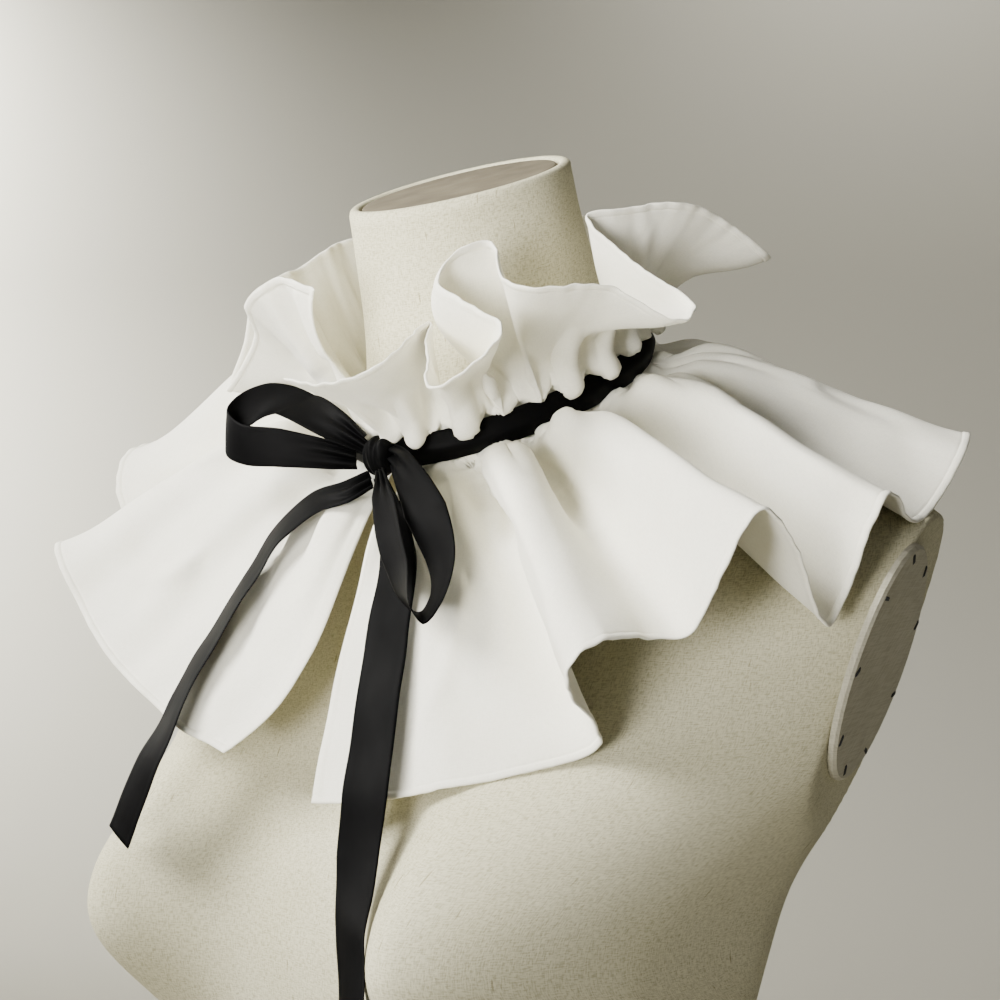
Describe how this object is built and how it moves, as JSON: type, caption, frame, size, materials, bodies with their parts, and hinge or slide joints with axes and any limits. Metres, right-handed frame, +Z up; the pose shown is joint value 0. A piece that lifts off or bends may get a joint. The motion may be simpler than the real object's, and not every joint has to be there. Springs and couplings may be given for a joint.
{
  "type": "ruffled false collar on a limbless dress form",
  "caption": "Gathered false collar with a short stand frill and a long cape frill, tied at the neck with a flat ribbon in a bow, on a limbless linen-covered dress form.",
  "frame": {"origin": "centre of the dress form's flat underside, on the surface that it stands on", "axes": "+Z up, -Y the form's front, where the bow is tied, and +X the wearer's left"},
  "size_m": [0.4053, 0.3539, 0.6294],
  "materials": {
    "linen": "unbleached linen canvas, plain weave with slubs",
    "board": "cloth-covered board",
    "cotton": "matt white cotton poplin",
    "satin": "black satin ribbon with a soft sheen"
  },
  "bodies": {
    "root": {"form_torso": "linen", "form_neck_cap": "board", "form_arm_plate_left": "linen", "form_arm_plate_right": "linen", "stand_frill": "cotton", "cape_frill": "cotton", "ribbon_band": "satin", "ribbon_knot": "satin", "ribbon_loop_left": "satin", "ribbon_loop_right": "satin", "ribbon_tail_left": "satin", "ribbon_tail_right": "satin"}
  },
  "joints": []
}
